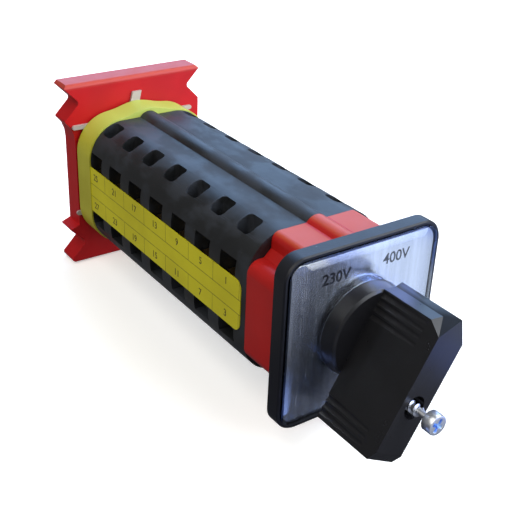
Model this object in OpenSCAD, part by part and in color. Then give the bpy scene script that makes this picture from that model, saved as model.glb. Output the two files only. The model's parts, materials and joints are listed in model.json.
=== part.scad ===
/* [Body] */
// Width and height of the square switch body
body_w = 41.2; // [41.2:0.1:42]
// Corner radius of the switch body
body_corner_r = 11.4; // [11:0.1:11.8]
// Radius of the rib on top and below
rib_r = 3.7; // [3.6:0.1:3.8]
// Height of the rib's centre above the shaft axis
rib_z = 18.5; // [18.4:0.1:18.6]
// Height of a tie rod above the shaft axis
tie_rod_z = 17.6; // [17.5:0.1:17.7]
// Tie rod radius
tie_rod_r = 1.95; // [1.9:0.01:2]

/* [Stages] */
// Number of contact stages
stage_count = 7; // [1:1:7]
// Length of one stage along the shaft
stage_pitch = 12.3; // [12.3:0.1:12.6]
// Start of the terminal chambers behind a stage's front face
chamber_front = 5.1; // [5:0.1:5.2]

/* [Front] */
// Width and height of the front frame
frame_w = 48; // [48:0.5:50]
// Thickness of the front frame
frame_t = 4.3; // [4.2:0.1:4.5]
// Distance between the panel screw holes
panel_hole_spacing = 36; // [36:0.1:36.4]
// Radius of the panel screw holes
panel_hole_r = 2.1; // [2:0.05:2.25]
// Length of the red front housing
housing_l = 15.6; // [15.6:0.1:16]

/* [Handle] */
// Angle of the handle from upright in its first position
handle_angle = 30; // [30:1:30]
// Width of the grip bar
bar_w = 9.7; // [9.4:0.1:9.8]
// Distance from the shaft axis to the pointer's tip
pointer_reach = 14.8; // [14.6:0.1:15]
// Distance from the shaft axis to the bar's tail
tail_reach = 23.5; // [23:0.1:24]
// Distance of the handle screw from the shaft axis
handle_screw_offset = 8.3; // [8.2:0.1:8.4]

/* [Mechanism] */
// Side of the square shaft
shaft_w = 5; // [5:0.1:5]
// Smallest radius of a cam
cam_low_r = 4.9; // [4.9:0.1:5]
// Largest radius of a cam
cam_high_r = 7.2; // [7.1:0.1:7.2]
// Turn between the two positions
travel_angle = 60; // [60:1:60]

/* [Rear] */
// Length of the yellow end cap
cap_l = 8.6; // [8:0.1:9]
// Thickness of the red rear plate
plate_t = 7.5; // [7:0.1:8]

/* [Hidden] */
$fn = 48;

// Small overshoot that keeps cuts clean
over = 0.5;
// Fine gap between pieces that only touch
touch_gap = 0.02;

// Places along the shaft, measured from the panel plane
body_half = body_w / 2;
stages_front = housing_l;
stages_rear = stages_front + stage_count * stage_pitch;
cap_rear = stages_rear + cap_l;
retainer_t = 0.8;
plate_front = cap_rear + retainer_t;
plate_rear = plate_front + plate_t;

// Front frame, legend and cover
frame_corner_r = 5.6;
frame_lip = 0.5;
frame_pocket_t = 0.8;
frame_pocket_gap = 0.1;
recess_w = 46.3;
recess_corner_r = 4.8;
recess_floor = -3.4;
legend_w = 44.4;
legend_corner_r = 4;
legend_front = -3.9;
cover_w = 46;
cover_corner_r = 4.6;
cover_shoulder = -4.7;
cover_front = -5.5;
cover_bevel = 2.1;
cover_front_corner_r = 3.6;
cover_hole_r = 13.2;
front_bore_r = 8;
frame_screw_x = 17;
screw_m3_r = 1.5;
frame_screw_head_r = 2.9;
frame_screw_head_t = 1.4;
frame_screw_end = 9;

// Handle
bar_half = bar_w / 2;
bar_rear = -9.6;
bar_front = -29.75;
flank_slope = 1.14;
hub_spigot_rear = -4.1;
hub_spigot_r = 11.9;
hub_rear = -5.3;
hub_front = -9.8;
hub_rear_r = 13;
hub_front_r = 12.55;
hub_edge = 0.6;
shoulder_front = -25.6;
shoulder_v = 11.8;
shoulder_inner_u = 1.3;
tail_chamfer_y = -28.2;
tail_chamfer_v = 2.5;
groove_r = 1.1;
groove_depth = 0.12;
groove_fade = 1.3;
groove_front = -25;
pointer_grooves = [4.8, 6.8, 8.7, 10.6];
tail_grooves = [-17.95, -19.8, -21.7];
tail_pocket = [5.7, 8.4];
tail_pocket_v = -17.3;
tail_pocket_front = -20;
counterbore_r = 3.1;
counterbore_floor = -21.5;
screw_guide_r = 1.6;

// Drive disc inside the hub
disc_front = -8.2;
disc_rear = -4.2;
disc_r = 11;
disc_flat = 9.5;
disc_gap = 0.2;
keyway_gap = 0.05;
disc_screw_head_r = 3.9;
disc_screw_head_front = -10.2;
disc_screw_end = 0;

// Handle screw, drawn out of the handle
screw_head_front = -37.5;
screw_head_t = 3;
screw_head_r = 2.65;
screw_neck_r = 1;
screw_neck_end = -31.5;
screw_end = -17.6;
cross_w = 0.75;
cross_l = 3.2;
cross_depth = 1.5;

// Front housing
housing_front = -frame_pocket_t;
block_half = 13.6;
block_r = 2.2;
side_half = 14.2;
side_r = 3.5;
gutter_floor = 29.9;
gutter_block = [33.4, 35.2];
housing_wall = 2.6;
housing_cavity_r = 11.2;
housing_bore_r = 5.55;
channel_half = 3.1;
channel_top = 14.4;
channel_front = 9.8;
tie_thread_front = 6.6;

// Detent
wheel_r = 6.6;
notch_r = 1.6;
notch_depth = 0.55;
notch_count = 6;
star_front = 10.4;
star_rear = 14.6;
wheel_hub_r = 5.5;
wheel_front = 0.2;
collar_r = 4.6;
arm_front = 3.2;
arm_rear = 7.8;
arm_half = 2;
arm_reach = 10.6;
stop_pin_r = 1.5;
stop_pin_at = 9.4;
stop_pin_seat = 0.8;
stop_pin_end = 8.5;
stop_gap_angle = 0.6;
roller_r = 1.4;
roller_gap = 0.06;
roller_z = wheel_r + roller_r + roller_gap;
cradle_r = 1.45;
plunger_half = 3;
detent_plunger_z = [7.7, 12.2];
detent_plunger_y = [10, 15.4];
detent_spring_floor = 10.4;

// Shaft
shaft_front = -7.2;
journal_r = 2.45;
journal_rear = stages_rear + 7.3;

// Stage mouldings, sizes in the front view
web_hole_r = 4.8;
cam_chamber_r = 7.6;
guide_half = 2.45;
sill_z = 8.3;
sill_half = 5.4;
ledge_z = 7;
bridge_chamber_half = 9.7;
bridge_chamber_top = 12.7;
spring_pocket_half = 2.9;
spring_seat_z = 14.4;
terminal_floor_z = 5;
wire_window_top = 12.1;
terminal_x = 14.1;
access_w = 5.25;
access_l = 6;
access_r = 1.5;
access_y = 8.8;
screw_well_r = 1.9;
screw_well_end = 1;
tie_hole_r = 2.2;

// Contacts and terminals, sizes in the front view
contact_y = 8.6;
strip_w = 6.4;
strip_t = 1;
strip_inner_x = 5.6;
strip_bend_x = 9.9;
strip_outer_x = 18.4;
tip_x = 7.2;
tip_r = 1.6;
fixed_tip_t = 0.65;
moving_tip_t = 0.3;
bridge_z = 9;
bridge_t = 0.9;
bridge_half = 8.9;
bridge_w = 4.6;
plunger_tip_r = 1;
plunger_tip_gap = 0.15;
plunger_stem_half = 2.3;
plunger_shoulder = 2.5;
plunger_w = 5.8;
cheek_t = 0.5;
cheek_top = 11.5;
clamp_w = 5.4;
clamp_t = 1.2;
clamp_z = 11;
terminal_head_r = 2.35;
terminal_head_t = 2;
terminal_screw_end = 4.2;
slot_w = 0.8;
slot_depth = 0.9;
cam_w = 6;
cam_step = 5;
contact_stroke = cam_high_r - cam_low_r;

// Springs
coil_steps = 10;
wire_sides = 6;
coil_turns = 3;
contact_coil_r = 1.7;
contact_wire_r = 0.22;
detent_coil_r = 1.45;
detent_wire_r = 0.25;

// Label strip
label_t = 0.25;
label_half = 7.4;
label_front = 17.7;
label_corner_r = 2.5;

// End cap, bush and retainer
cap_grow = 0.5;
bush_r = 4.38;
bush_bore_r = 2.5;
bush_flange_r = 5.6;
bush_flange_t = 1;
bush_front = stages_rear + 0.2;
bush_rear = stages_rear + 7.6;
cap_bore_r = 4.4;
cap_bore_end = stages_rear + 7.9;
cap_counterbore_r = 5.8;
cap_counterbore_t = 1.3;
end_cover_t = 0.6;
top_tab = [[-1.8, 19], [1.4, 19], [1.4, 22.4], [2.2, 25.9], [-0.9, 25.9], [-1.8, 22.4]];
left_tab = [-22.2, 17.3, 1.4];
right_tab = [20.9, 17.3, 1.4];
lower_tab = [-22.2, -12, 1.4];
tab_l = 7.5;
retainer_inset = 1;

// Tie rods
tie_rod_end = plate_front + 6.1;
nut_w = 7;
nut_t = 3.2;
washer_r = 4.4;
washer_t = 0.8;

// Rear plate, sizes in the front view
plate_half = 24.2;
plate_top = 31;
plate_bottom = -30.5;
plate_wall = 2.8;
plate_corner = 1.1;
plate_edge_r = 1.3;
notch_root_x = 19.1;
notch_root_r = 1.3;
notch_half = 5.2;
upper_notch = 24.9;
lower_notch = -23.4;
left_edge = [
    [-25.2, 19.2], [-24.2, 19.2], [-22.4, 17.1], [-21.5, 14.6], [-21.2, 12],
    [-21.2, -16.6], [-24.2, -17.8], [-25.2, -17.8]
];
right_edge_x = 23.9;
pocket_size = [10.6, 9.6];
pocket_pitch = [12.4, 11.4];
nut_pocket_r = 5.2;

// Extrudes a front-view outline from one place along the shaft to another
module along_y(from, to) {
    translate([0, to, 0])
        rotate([90, 0, 0])
            linear_extrude(to - from)
                children();
}

// Extrudes an outline drawn in Y and Z from one X to another
module along_x(from, to) {
    translate([from, 0, 0])
        rotate([90, 0, 90])
            linear_extrude(to - from)
                children();
}

// Turns a profile of radius and place around the shaft axis
module turned(profile) {
    rotate([-90, 0, 0])
        rotate_extrude()
            polygon(profile);
}

// A round bar along the shaft axis's direction
module bar_y(r, from, to) {
    translate([0, from, 0])
        rotate([-90, 0, 0])
            cylinder(r = r, h = to - from);
}

// A square bar along the shaft axis
module square_y(w, from, to) {
    along_y(from, to)
        square(w, center = true);
}

// A rectangle with round corners
module rounded_rect(w, h, r) {
    square([w, h - 2 * r], center = true);
    square([w - 2 * r, h], center = true);
    for (x = [-1, 1], y = [-1, 1])
        translate([x * (w / 2 - r), y * (h / 2 - r)])
            circle(r);
}

// Copies a feature of the upper right quarter into all four
module in_quarters() {
    for (x = [0, 1], z = [0, 1])
        mirror([x, 0, 0])
            mirror([0, 0, z])
                children();
}

// Copies a feature of the upper half into the lower one
module in_halves() {
    for (z = [0, 1])
        mirror([0, 0, z])
            children();
}

// Repeats a piece in every stage
module in_stages() {
    for (i = [0 : stage_count - 1])
        translate([0, stages_front + i * stage_pitch, 0])
            children();
}

// A coil spring along Z around an axis through the origin
module coil(r, wire_r, bottom, top) {
    steps = coil_turns * coil_steps;
    rise = top - bottom - 2 * wire_r;
    rings = [
        for (i = [0 : steps], j = [0 : wire_sides - 1])
            let (
                turn = 360 * i / coil_steps,
                side = 360 * j / wire_sides,
                reach = r + wire_r * cos(side)
            )
            [
                reach * cos(turn),
                reach * sin(turn),
                bottom + wire_r + rise * i / steps + wire_r * sin(side)
            ]
    ];
    sides = [
        for (i = [0 : steps - 1], j = [0 : wire_sides - 1])
            let (next = (j + 1) % wire_sides)
            [
                i * wire_sides + j,
                i * wire_sides + next,
                (i + 1) * wire_sides + next,
                (i + 1) * wire_sides + j
            ]
    ];
    start_cap = [for (j = [wire_sides - 1 : -1 : 0]) j];
    end_cap = [for (j = [0 : wire_sides - 1]) steps * wire_sides + j];
    polyhedron(rings, concat([start_cap], sides, [end_cap]), convexity = 8);
}

module ribs(grow = 0) {
    for (z = [-rib_z, rib_z])
        translate([0, z])
            circle(rib_r + grow);
}

// Outline shared by the stages and the end cap
module body_section(grow = 0) {
    rounded_rect(body_w + 2 * grow, body_w + 2 * grow, body_corner_r + grow);
    ribs(grow);
}

// Outline of the front housing, with a gutter along each corner
module housing_section(grow = 0) {
    rounded_rect(2 * (block_half + grow), body_w + 2 * grow, block_r + grow);
    rounded_rect(body_w + 2 * grow, 2 * (side_half + grow), side_r + grow);
    intersection() {
        square(gutter_block, center = true);
        rotate(45)
            square((gutter_floor + 1.5 * grow) * sqrt(2), center = true);
    }
    ribs(grow);
}

module in_handle() {
    rotate([0, handle_angle, 0])
        children();
}

// Arrow outline of the grip bar, with the pointer upwards
module bar_outline() {
    flank_end = pointer_reach - flank_slope * bar_half;
    polygon([
        [-bar_half, -tail_reach], [bar_half, -tail_reach], [bar_half, flank_end],
        [0, pointer_reach], [-bar_half, flank_end]
    ]);
}

// Thicker shoulder beside the pointer's ridge
module shoulder_outline() {
    inner_v = pointer_reach - flank_slope * shoulder_inner_u;
    polygon([
        [shoulder_inner_u, inner_v - 1], [bar_half, shoulder_v - 3],
        [bar_half, shoulder_v], [shoulder_inner_u, inner_v]
    ]);
}

module shoulder() {
    flank_end = pointer_reach - flank_slope * bar_half;
    along_y(shoulder_front, bar_rear)
        shoulder_outline();
    hull() {
        along_y(shoulder_front, shoulder_front + 0.1)
            shoulder_outline();
        translate([bar_half - 0.1, bar_front, flank_end - 0.1])
            cube(0.1);
    }
}

// Shallow grooves in one flank, fading out towards the front
module flank_grooves(places, rear) {
    for (v = places)
        translate([bar_half + groove_r - groove_depth, groove_front, v])
            rotate([0, 0, groove_fade])
                bar_y(groove_r, 0, rear - groove_front);
}

module grip_grooves() {
    for (side = [0, 1])
        mirror([side, 0, 0]) {
            flank_grooves(pointer_grooves, hub_front);
            flank_grooves(tail_grooves, bar_rear + over);
        }
}

module handle() {
    color("#26282b")
        in_handle()
            difference() {
                union() {
                    turned([
                        [0, hub_spigot_rear], [hub_spigot_r, hub_spigot_rear],
                        [hub_spigot_r, hub_rear], [hub_rear_r, hub_rear],
                        [hub_front_r, hub_front + hub_edge],
                        [hub_front_r - hub_edge, hub_front], [0, hub_front]
                    ]);
                    along_y(bar_front, bar_rear)
                        bar_outline();
                    shoulder();
                    mirror([1, 0, 0])
                        shoulder();
                }
                grip_grooves();
                along_x(-bar_w, bar_w)
                    polygon([
                        [tail_chamfer_y, -tail_reach], [bar_front, tail_chamfer_v - tail_reach],
                        [bar_front - 1, tail_chamfer_v - tail_reach], [bar_front - 1, -tail_reach - 1],
                        [tail_chamfer_y, -tail_reach - 1]
                    ]);
                translate([0, 0, tail_pocket_v])
                    along_y(tail_pocket_front, bar_rear + over)
                        square(tail_pocket, center = true);
                along_y(disc_front - disc_gap, hub_spigot_rear + over)
                    intersection() {
                        circle(disc_r + disc_gap);
                        square([2 * disc_flat + disc_gap, 3 * disc_r], center = true);
                    }
                bar_y(disc_screw_head_r + disc_gap, disc_screw_head_front - over, disc_front);
                translate([0, 0, -handle_screw_offset]) {
                    bar_y(counterbore_r, bar_front - over, counterbore_floor);
                    bar_y(screw_guide_r, counterbore_floor - over, disc_front);
                }
            }
}

module cross_recess() {
    for (turn = [0, 90])
        rotate([0, turn, 0])
            translate([-cross_l / 2, 0, -cross_w / 2])
                cube([cross_l, cross_depth, cross_w]);
}

module handle_screw() {
    neck_front = screw_head_front + screw_head_t;
    color("silver")
        in_handle()
            translate([0, 0, -handle_screw_offset])
                difference() {
                    union() {
                        bar_y(screw_head_r, screw_head_front, neck_front);
                        bar_y(screw_neck_r, neck_front - over, screw_neck_end + over);
                        bar_y(screw_m3_r, screw_neck_end, screw_end);
                    }
                    translate([0, screw_head_front - 0.1, 0])
                        cross_recess();
                }
}

module drive_disc() {
    color("#8a8d90")
        in_handle()
            difference() {
                along_y(disc_front, disc_rear)
                    intersection() {
                        circle(disc_r);
                        square([2 * disc_flat, 3 * disc_r], center = true);
                    }
                rotate([0, -handle_angle, 0])
                    square_y(shaft_w + 2 * keyway_gap, disc_front - over, disc_rear + over);
                translate([0, 0, -handle_screw_offset])
                    bar_y(screw_m3_r + keyway_gap, disc_front - over, disc_rear + over);
            }
}

module disc_screw() {
    color("silver")
        difference() {
            union() {
                bar_y(disc_screw_head_r, disc_screw_head_front, disc_front);
                bar_y(screw_m3_r, disc_front - over, disc_screw_end);
            }
            translate([0, disc_screw_head_front - 0.1, 0])
                cross_recess();
        }
}

module legend_cover() {
    color("#c8d4dc", 0.35)
        difference() {
            hull() {
                along_y(cover_shoulder, recess_floor)
                    rounded_rect(cover_w, cover_w, cover_corner_r, $fn = 32);
                along_y(cover_front, cover_shoulder)
                    rounded_rect(cover_w - 2 * cover_bevel, cover_w - 2 * cover_bevel,
                        cover_front_corner_r, $fn = 32);
            }
            along_y(legend_front - touch_gap, recess_floor + over)
                rounded_rect(legend_w + 0.2, legend_w + 0.2, legend_corner_r);
            bar_y(cover_hole_r, cover_front - over, recess_floor + over);
        }
}

module legend_plate() {
    color("#aeb2bc")
        along_y(legend_front, recess_floor)
            difference() {
                rounded_rect(legend_w, legend_w, legend_corner_r);
                circle(front_bore_r);
            }
}

module front_frame() {
    hole_at = panel_hole_spacing / 2;
    color("#1e2023")
        difference() {
            union() {
                along_y(frame_lip - frame_t, 0)
                    rounded_rect(frame_w, frame_w, frame_corner_r);
                hull() {
                    along_y(frame_lip - frame_t, frame_lip - frame_t + 0.1)
                        rounded_rect(frame_w, frame_w, frame_corner_r, $fn = 32);
                    along_y(-frame_t, -frame_t + 0.1)
                        rounded_rect(frame_w - frame_lip, frame_w - frame_lip, frame_corner_r, $fn = 32);
                }
            }
            along_y(-frame_t - over, recess_floor)
                rounded_rect(recess_w, recess_w, recess_corner_r);
            bar_y(front_bore_r, -frame_t, over);
            in_quarters()
                translate([hole_at, 0, hole_at])
                    bar_y(panel_hole_r, -frame_t, over);
            along_y(-frame_pocket_t, over)
                housing_section(frame_pocket_gap);
            for (x = [-1, 1])
                translate([x * frame_screw_x, 0, 0])
                    frame_screw_shape(0.1);
        }
}

// A countersunk screw, or its hole when grown
module frame_screw_shape(grow = 0) {
    translate([0, recess_floor - grow, 0])
        rotate([-90, 0, 0])
            cylinder(r1 = frame_screw_head_r + grow, r2 = screw_m3_r + grow,
                h = frame_screw_head_t + grow);
    bar_y(screw_m3_r + grow, recess_floor + 1, frame_screw_end + grow);
}

module frame_screws() {
    color("silver")
        for (x = [-1, 1])
            translate([x * frame_screw_x, 0, 0])
                difference() {
                    frame_screw_shape();
                    translate([0, recess_floor - 0.1, 0])
                        scale(0.8)
                            cross_recess();
                }
}

// Places a feature at one limit stop, above or below the arm's sweep
module at_stops() {
    arm_angle = asin((arm_half + stop_pin_r) / stop_pin_at);
    spread = travel_angle / 2 + arm_angle + stop_gap_angle;
    for (side = [-1, 1])
        rotate([0, side * spread, 0])
            translate([-stop_pin_at, 0, 0])
                children();
}

module front_housing() {
    color("#c81f26")
        difference() {
            along_y(housing_front, housing_l)
                housing_section();
            bar_y(housing_bore_r, housing_front - over, housing_l);
            bar_y(housing_cavity_r, housing_wall, housing_l + over);
            in_halves() {
                along_y(channel_front, housing_l + over)
                    translate([-channel_half, 0])
                        square([2 * channel_half, channel_top]);
                translate([0, 0, tie_rod_z])
                    bar_y(tie_rod_r + touch_gap, tie_thread_front, housing_l + over);
            }
            for (x = [-1, 1])
                translate([x * frame_screw_x, 0, 0])
                    bar_y(screw_m3_r + touch_gap, housing_front - over, frame_screw_end + 1);
            at_stops()
                bar_y(stop_pin_r, stop_pin_seat, housing_wall + over);
        }
}

module stop_pins() {
    color("#9a9da0")
        at_stops()
            bar_y(stop_pin_r - touch_gap, stop_pin_seat, stop_pin_end);
}

module detent_wheel() {
    star_hub_rear = housing_l - 0.1;
    color("#e8e4d8")
        difference() {
            union() {
                bar_y(wheel_hub_r, wheel_front, arm_rear);
                bar_y(collar_r, arm_rear - over, star_hub_rear);
                along_y(star_front, star_rear)
                    difference() {
                        circle(wheel_r);
                        for (i = [0 : notch_count - 1])
                            rotate(90 + i * 360 / notch_count)
                                translate([wheel_r + notch_r - notch_depth, 0])
                                    circle(notch_r);
                    }
                rotate([0, travel_angle / 2, 0])
                    along_y(arm_front, arm_rear)
                        translate([-arm_reach, -arm_half])
                            square([arm_reach, 2 * arm_half]);
            }
            square_y(shaft_w + 2 * keyway_gap, wheel_front - over, star_hub_rear + over);
        }
}

module detent_plunger() {
    width = detent_plunger_y[1] - detent_plunger_y[0];
    height = detent_plunger_z[1] - detent_plunger_z[0];
    difference() {
        translate([-plunger_half, detent_plunger_y[0], detent_plunger_z[0]])
            cube([2 * plunger_half, width, height]);
        translate([0, 0, roller_z])
            bar_y(cradle_r, detent_plunger_y[0] - over, detent_plunger_y[1] + over);
        translate([0, (star_front + star_rear) / 2, detent_spring_floor])
            cylinder(r = detent_coil_r + detent_wire_r + 0.2, h = height);
    }
}

module detent_roller() {
    translate([0, 0, roller_z])
        bar_y(roller_r, star_front, star_rear);
}

module detent_spring() {
    translate([0, (star_front + star_rear) / 2, 0])
        coil(detent_coil_r, detent_wire_r, detent_spring_floor + touch_gap, channel_top - touch_gap);
}

module shaft() {
    color("#b4b6b8")
        difference() {
            union() {
                square_y(shaft_w, shaft_front, stages_rear);
                bar_y(journal_r, stages_rear - over, journal_rear);
            }
            bar_y(screw_m3_r + touch_gap, shaft_front - over, disc_screw_end + 1);
        }
}

// Cam radius at an angle counted from the right, counter-clockwise from the front
function cam_r(a) =
    a < 30 ? cam_high_r
    : a < 90 ? cam_high_r - contact_stroke * (a - 30) / travel_angle
    : a < 210 ? cam_low_r
    : a < 270 ? cam_low_r + contact_stroke * (a - 210) / travel_angle
    : cam_high_r;

module cam(place) {
    cam_front = contact_y - cam_w / 2;
    color("#d9d4c4")
        translate([0, stages_front + (place - 1) * stage_pitch, 0])
            difference() {
                union() {
                    bar_y(collar_r, touch_gap, stage_pitch - touch_gap);
                    along_y(cam_front, cam_front + cam_w)
                        polygon([
                            for (a = [0 : cam_step : 360 - cam_step])
                                [cam_r(a) * cos(a), cam_r(a) * sin(a)]
                        ]);
                }
                square_y(shaft_w + 2 * keyway_gap, -over, stage_pitch + over);
            }
}

module terminal_chambers() {
    rear = stage_pitch + over;
    in_quarters() {
        along_y(chamber_front, rear)
            translate([bridge_chamber_half, terminal_floor_z])
                square([body_half, wire_window_top - terminal_floor_z]);
        translate([terminal_x, access_y, wire_window_top - over])
            linear_extrude(body_half)
                rounded_rect(access_w, access_l, access_r);
        translate([terminal_x, contact_y, screw_well_end])
            cylinder(r = screw_well_r, h = terminal_floor_z);
    }
}

module contact_chambers() {
    rear = stage_pitch + over;
    in_halves() {
        along_y(chamber_front, rear)
            polygon([
                [-bridge_chamber_half - 0.1, ledge_z], [-sill_half, ledge_z], [-sill_half, sill_z],
                [-guide_half, sill_z], [-guide_half, 0], [guide_half, 0],
                [guide_half, sill_z], [sill_half, sill_z], [sill_half, ledge_z],
                [bridge_chamber_half + 0.1, ledge_z],
                [bridge_chamber_half + 0.1, bridge_chamber_top],
                [spring_pocket_half, bridge_chamber_top], [spring_pocket_half, spring_seat_z],
                [-spring_pocket_half, spring_seat_z], [-spring_pocket_half, bridge_chamber_top],
                [-bridge_chamber_half - 0.1, bridge_chamber_top]
            ]);
        translate([0, 0, tie_rod_z])
            bar_y(tie_hole_r, -over, rear);
    }
}

module stage(place) {
    color("#2a2c2f")
        translate([0, stages_front + (place - 1) * stage_pitch, 0])
            difference() {
                along_y(0, stage_pitch)
                    body_section();
                bar_y(web_hole_r, -over, stage_pitch);
                bar_y(cam_chamber_r, chamber_front, stage_pitch + over);
                terminal_chambers();
                contact_chambers();
            }
}

module fixed_contacts() {
    strip_front = contact_y - strip_w / 2;
    color("#c98a4b")
        in_stages()
            in_quarters() {
                difference() {
                    along_y(strip_front, strip_front + strip_w)
                        polygon([
                            [strip_inner_x, ledge_z], [strip_bend_x, ledge_z],
                            [strip_bend_x, terminal_floor_z], [strip_outer_x, terminal_floor_z],
                            [strip_outer_x, terminal_floor_z + strip_t],
                            [strip_bend_x + strip_t, terminal_floor_z + strip_t],
                            [strip_bend_x + strip_t, ledge_z + strip_t],
                            [strip_inner_x, ledge_z + strip_t]
                        ]);
                    translate([terminal_x, contact_y, terminal_floor_z - over])
                        cylinder(r = screw_m3_r + keyway_gap, h = strip_t + 2 * over);
                }
                translate([tip_x, contact_y, ledge_z + strip_t])
                    cylinder(r = tip_r, h = fixed_tip_t);
            }
}

module terminal_clamps() {
    color("#b8bcc0")
        in_stages()
            in_quarters()
                difference() {
                    translate([terminal_x - clamp_w / 2, contact_y - strip_w / 2 + 0.2, clamp_z])
                        cube([clamp_w, strip_w - 0.4, clamp_t - 0.1]);
                    translate([terminal_x, contact_y, clamp_z - over])
                        cylinder(r = screw_m3_r + 0.1, h = clamp_t + 2 * over);
                }
}

module terminal_screws() {
    head_z = clamp_z + clamp_t;
    color("#d0d2d4")
        in_stages()
            in_quarters()
                translate([terminal_x, contact_y, 0])
                    difference() {
                        union() {
                            translate([0, 0, head_z])
                                cylinder(r = terminal_head_r, h = terminal_head_t);
                            translate([0, 0, terminal_screw_end])
                                cylinder(r = screw_m3_r, h = head_z - terminal_screw_end + over);
                        }
                        translate([-terminal_head_r, -slot_w / 2, head_z + terminal_head_t - slot_depth])
                            cube([2 * terminal_head_r, slot_w, slot_depth + over]);
                    }
}

// One contact carrier, with its rounded tip resting on the cam's low side
module plunger() {
    tip_z = cam_low_r + plunger_tip_gap + plunger_tip_r;
    from = contact_y - plunger_w / 2;
    along_y(from, from + plunger_w) {
        translate([0, tip_z])
            circle(plunger_tip_r);
        polygon([
            [-plunger_tip_r, tip_z], [plunger_tip_r, tip_z],
            [plunger_stem_half, tip_z + plunger_shoulder - plunger_tip_r], [plunger_stem_half, bridge_z],
            [-plunger_stem_half, bridge_z], [-plunger_stem_half, tip_z + plunger_shoulder - plunger_tip_r]
        ]);
    }
    for (cheek = [from, from + plunger_w - cheek_t])
        translate([-plunger_stem_half, cheek, bridge_z - over])
            cube([2 * plunger_stem_half, cheek_t, cheek_top - bridge_z + over]);
}

module bridge() {
    translate([-bridge_half, contact_y - bridge_w / 2, bridge_z])
        cube([2 * bridge_half, bridge_w, bridge_t]);
    for (x = [-1, 1])
        translate([x * tip_x, contact_y, bridge_z - moving_tip_t])
            cylinder(r = tip_r, h = moving_tip_t + bridge_t / 2);
}

// Turns an upper contact piece into the lower one, pushed out by the cam
module lower_half() {
    mirror([0, 0, 1])
        translate([0, 0, contact_stroke])
            children();
}

module upper_plungers() {
    color("#e6e2d6")
        in_stages()
            plunger();
}

module lower_plungers() {
    color("#e6e2d6")
        in_stages()
            lower_half()
                plunger();
}

module upper_bridges() {
    color("#c98a4b")
        in_stages()
            bridge();
}

module lower_bridges() {
    color("#c98a4b")
        in_stages()
            lower_half()
                bridge();
}

module upper_springs() {
    color("#9a9da0")
        in_stages()
            translate([0, contact_y, 0])
                coil(contact_coil_r, contact_wire_r, bridge_z + bridge_t + touch_gap,
                    spring_seat_z - touch_gap);
}

module lower_springs() {
    color("#9a9da0")
        in_stages()
            translate([0, contact_y, 0])
                mirror([0, 0, 1])
                    coil(contact_coil_r, contact_wire_r,
                        bridge_z + bridge_t + contact_stroke + touch_gap, spring_seat_z - touch_gap);
}

module label_strip() {
    straight_front = label_front + label_corner_r;
    color("#c6bf2e")
        along_x(-body_half - label_t, -body_half) {
            translate([straight_front, -label_half])
                square([stages_rear - straight_front, 2 * label_half]);
            translate([label_front, label_corner_r - label_half])
                square([2 * label_corner_r, 2 * (label_half - label_corner_r)]);
            for (z = [-1, 1])
                translate([straight_front, z * (label_half - label_corner_r)])
                    circle(label_corner_r);
        }
}

module end_cap() {
    color("#c6bf2e")
        difference() {
            along_y(stages_rear, cap_rear)
                body_section(cap_grow);
            along_y(stages_rear - over, stages_rear + end_cover_t)
                body_section(touch_gap);
            bar_y(cap_counterbore_r, stages_rear - over, stages_rear + cap_counterbore_t);
            bar_y(cap_bore_r, stages_rear - over, cap_bore_end);
            in_halves()
                translate([0, 0, tie_rod_z])
                    bar_y(tie_hole_r, stages_rear - over, cap_rear + over);
        }
}

// Black sheet that closes the last stage, let into the end cap
module end_cover() {
    color("#2a2c2f")
        difference() {
            along_y(stages_rear, stages_rear + end_cover_t - touch_gap)
                body_section();
            bar_y(cap_counterbore_r, stages_rear - over, stages_rear + end_cover_t);
            in_halves()
                translate([0, 0, tie_rod_z])
                    bar_y(tie_hole_r, stages_rear - over, stages_rear + end_cover_t);
        }
}

module rear_bush() {
    color("#b08d3c")
        difference() {
            union() {
                bar_y(bush_flange_r, bush_front, bush_front + bush_flange_t);
                bar_y(bush_r, bush_front, bush_rear);
            }
            bar_y(bush_bore_r, bush_front - over, bush_rear + over);
        }
}

// A side tab of the retainer, from its outer end inwards
module side_tab(place) {
    width = place[2];
    round_x = place[0] - sign(place[0]) * width / 2;
    inner_x = place[0] - sign(place[0]) * tab_l;
    translate([min(round_x, inner_x), place[1] - width / 2])
        square([abs(round_x - inner_x), width]);
    translate([round_x, place[1]])
        circle(width / 2);
}

module retainer() {
    color("#eceae4")
        difference() {
            along_y(cap_rear, plate_front) {
                body_section(-retainer_inset);
                polygon(top_tab);
                side_tab(left_tab);
                side_tab(right_tab);
                side_tab(lower_tab);
            }
            in_halves()
                translate([0, 0, tie_rod_z])
                    bar_y(tie_hole_r, cap_rear - over, plate_front + over);
        }
}

module tie_rods() {
    color("#b8bcc0")
        in_halves()
            translate([0, 0, tie_rod_z])
                bar_y(tie_rod_r, tie_thread_front + over, tie_rod_end);
}

module tie_rod_nuts() {
    seat = plate_front + plate_wall;
    color("#b8bcc0")
        in_halves()
            translate([0, 0, tie_rod_z])
                difference() {
                    union() {
                        bar_y(washer_r, seat, seat + washer_t);
                        translate([0, seat + washer_t, 0])
                            rotate([-90, 0, 0])
                                cylinder(r = nut_w / sqrt(3), h = nut_t - washer_t, $fn = 6);
                    }
                    bar_y(tie_rod_r + touch_gap, seat - over, seat + nut_t + over);
                }
}

// A V-shaped cut with a round root in the right edge, at a height
module edge_notch(height) {
    slope = atan2(notch_half, plate_half - notch_root_x);
    centre = notch_root_r / sin(slope);
    tangent_x = centre * pow(cos(slope), 2);
    tangent_z = tangent_x * tan(slope);
    mouth_x = 2 * (plate_half - notch_root_x);
    translate([notch_root_x, height]) {
        polygon([
            [tangent_x, -tangent_z], [mouth_x, -2 * notch_half],
            [mouth_x, 2 * notch_half], [tangent_x, tangent_z]
        ]);
        translate([centre, 0])
            circle(notch_root_r + touch_gap);
    }
}

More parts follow.
